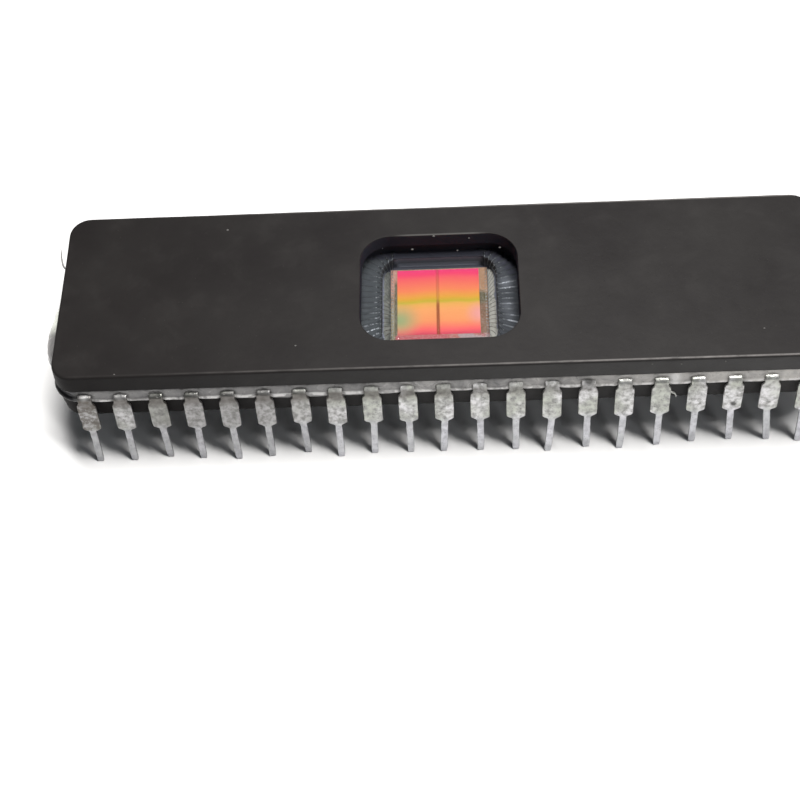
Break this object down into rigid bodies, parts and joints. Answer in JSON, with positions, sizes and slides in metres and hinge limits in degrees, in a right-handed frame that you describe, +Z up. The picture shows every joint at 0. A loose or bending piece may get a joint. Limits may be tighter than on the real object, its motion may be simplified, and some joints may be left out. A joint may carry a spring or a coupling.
{
  "type": "windowed ceramic dual in-line integrated circuit package",
  "caption": "Long dark ceramic chip package with a rounded clear window over its die, a sealed lead frame that fans in to the die, and a row of flat stamped pins down each side.",
  "frame": {"origin": "centre of the part's bounding box in X and Y, at the height of the pin tips", "axes": "+X along the ceramic body towards the end with the index notch; +Z up, out of the window; +Y towards the row that holds pin 1"},
  "size_m": [0.0559, 0.0177, 0.0085],
  "materials": {
    "dark_ceramic": "dark grey pressed ceramic, satin",
    "seal_glass": "grey fused seal glass, glossy",
    "tinned_lead": "dull mottled tin over iron-nickel alloy",
    "clear_lens": "clear, polished",
    "die_surface": "polished silicon with iridescent memory arrays",
    "die_attach": "grey-green fused paste"
  },
  "bodies": {
    "root": {"ceramic_base": "dark_ceramic", "ceramic_lid": "dark_ceramic", "window_lens": "clear_lens", "seal_glass": "seal_glass", "die": "die_surface", "die_attach": "die_attach", "lead_01": "tinned_lead", "lead_02": "tinned_lead", "lead_03": "tinned_lead", "lead_04": "tinned_lead", "lead_05": "tinned_lead", "lead_06": "tinned_lead", "lead_07": "tinned_lead", "lead_08": "tinned_lead", "lead_09": "tinned_lead", "lead_10": "tinned_lead", "lead_11": "tinned_lead", "lead_12": "tinned_lead", "lead_13": "tinned_lead", "lead_14": "tinned_lead", "lead_15": "tinned_lead", "lead_16": "tinned_lead", "lead_17": "tinned_lead", "lead_18": "tinned_lead", "lead_19": "tinned_lead", "lead_20": "tinned_lead", "lead_21": "tinned_lead", "lead_22": "tinned_lead", "lead_23": "tinned_lead", "lead_24": "tinned_lead", "lead_25": "tinned_lead", "lead_26": "tinned_lead", "lead_27": "tinned_lead", "lead_28": "tinned_lead", "lead_29": "tinned_lead", "lead_30": "tinned_lead", "lead_31": "tinned_lead", "lead_32": "tinned_lead", "lead_33": "tinned_lead", "lead_34": "tinned_lead", "lead_35": "tinned_lead", "lead_36": "tinned_lead", "lead_37": "tinned_lead", "lead_38": "tinned_lead", "lead_39": "tinned_lead", "lead_40": "tinned_lead", "lead_41": "tinned_lead", "lead_42": "tinned_lead"}
  },
  "joints": []
}
